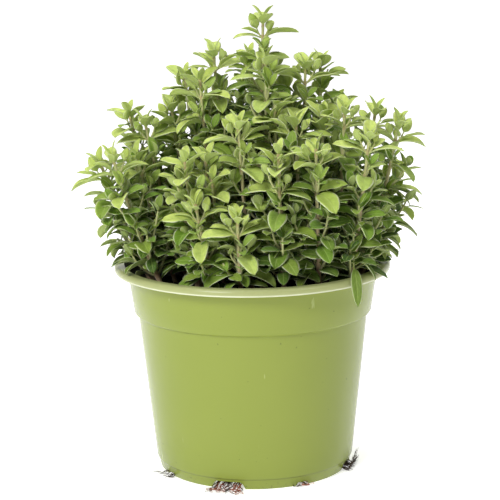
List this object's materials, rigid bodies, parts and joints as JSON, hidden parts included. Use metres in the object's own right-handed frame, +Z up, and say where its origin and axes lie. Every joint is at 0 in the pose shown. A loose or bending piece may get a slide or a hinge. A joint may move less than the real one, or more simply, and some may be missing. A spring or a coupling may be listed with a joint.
{
  "type": "potted oregano",
  "caption": "Bushy oregano plant of leafy upright shoots growing in soil in a round tapered plastic nursery pot with a flanged rim, roots showing at the drain notches.",
  "frame": {"origin": "on the pot's axis, on the plane the pot stands on", "axes": "+Z up along the pot's axis, -Y towards the side the plant is mostly seen from, +X to the right"},
  "size_m": [0.1785, 0.1429, 0.2347],
  "materials": {
    "pot_plastic": "semi-gloss lime green, thin moulded wall",
    "soil": "moist dark peat compost, matt and crumbly",
    "foliage": "soft, slightly hairy leaf, matt, paler below and at the margins",
    "stem": "hairy, pinkish tan, matt",
    "roots": "dark wiry root fibre with reddish brown strands"
  },
  "bodies": {
    "root": {"pot": "pot_plastic", "soil": "soil", "shoot_01": "foliage", "shoot_02": "foliage", "shoot_03": "foliage", "shoot_04": "foliage", "shoot_05": "foliage", "shoot_06": "foliage", "shoot_07": "foliage", "shoot_08": "foliage", "shoot_09": "foliage", "shoot_10": "foliage", "shoot_11": "foliage", "shoot_12": "foliage", "shoot_13": "foliage", "shoot_14": "foliage", "shoot_15": "foliage", "shoot_16": "foliage", "shoot_17": "foliage", "shoot_18": "foliage", "shoot_19": "foliage", "shoot_20": "foliage", "shoot_21": "foliage", "shoot_22": "foliage", "shoot_23": "foliage", "shoot_24": "foliage", "shoot_25": "foliage", "shoot_26": "foliage", "shoot_27": "foliage", "shoot_28": "foliage", "shoot_29": "foliage", "shoot_30": "foliage", "shoot_31": "foliage", "shoot_32": "foliage", "shoot_33": "foliage", "shoot_34": "foliage", "shoot_35": "foliage", "shoot_36": "foliage", "shoot_37": "foliage", "shoot_38": "foliage", "shoot_39": "foliage", "shoot_40": "foliage", "shoot_41": "foliage", "shoot_42": "foliage", "shoot_43": "foliage", "shoot_44": "foliage", "shoot_45": "foliage", "roots_front": "roots", "roots_right": "roots", "roots_left": "roots", "roots_front_right": "roots"}
  },
  "joints": []
}
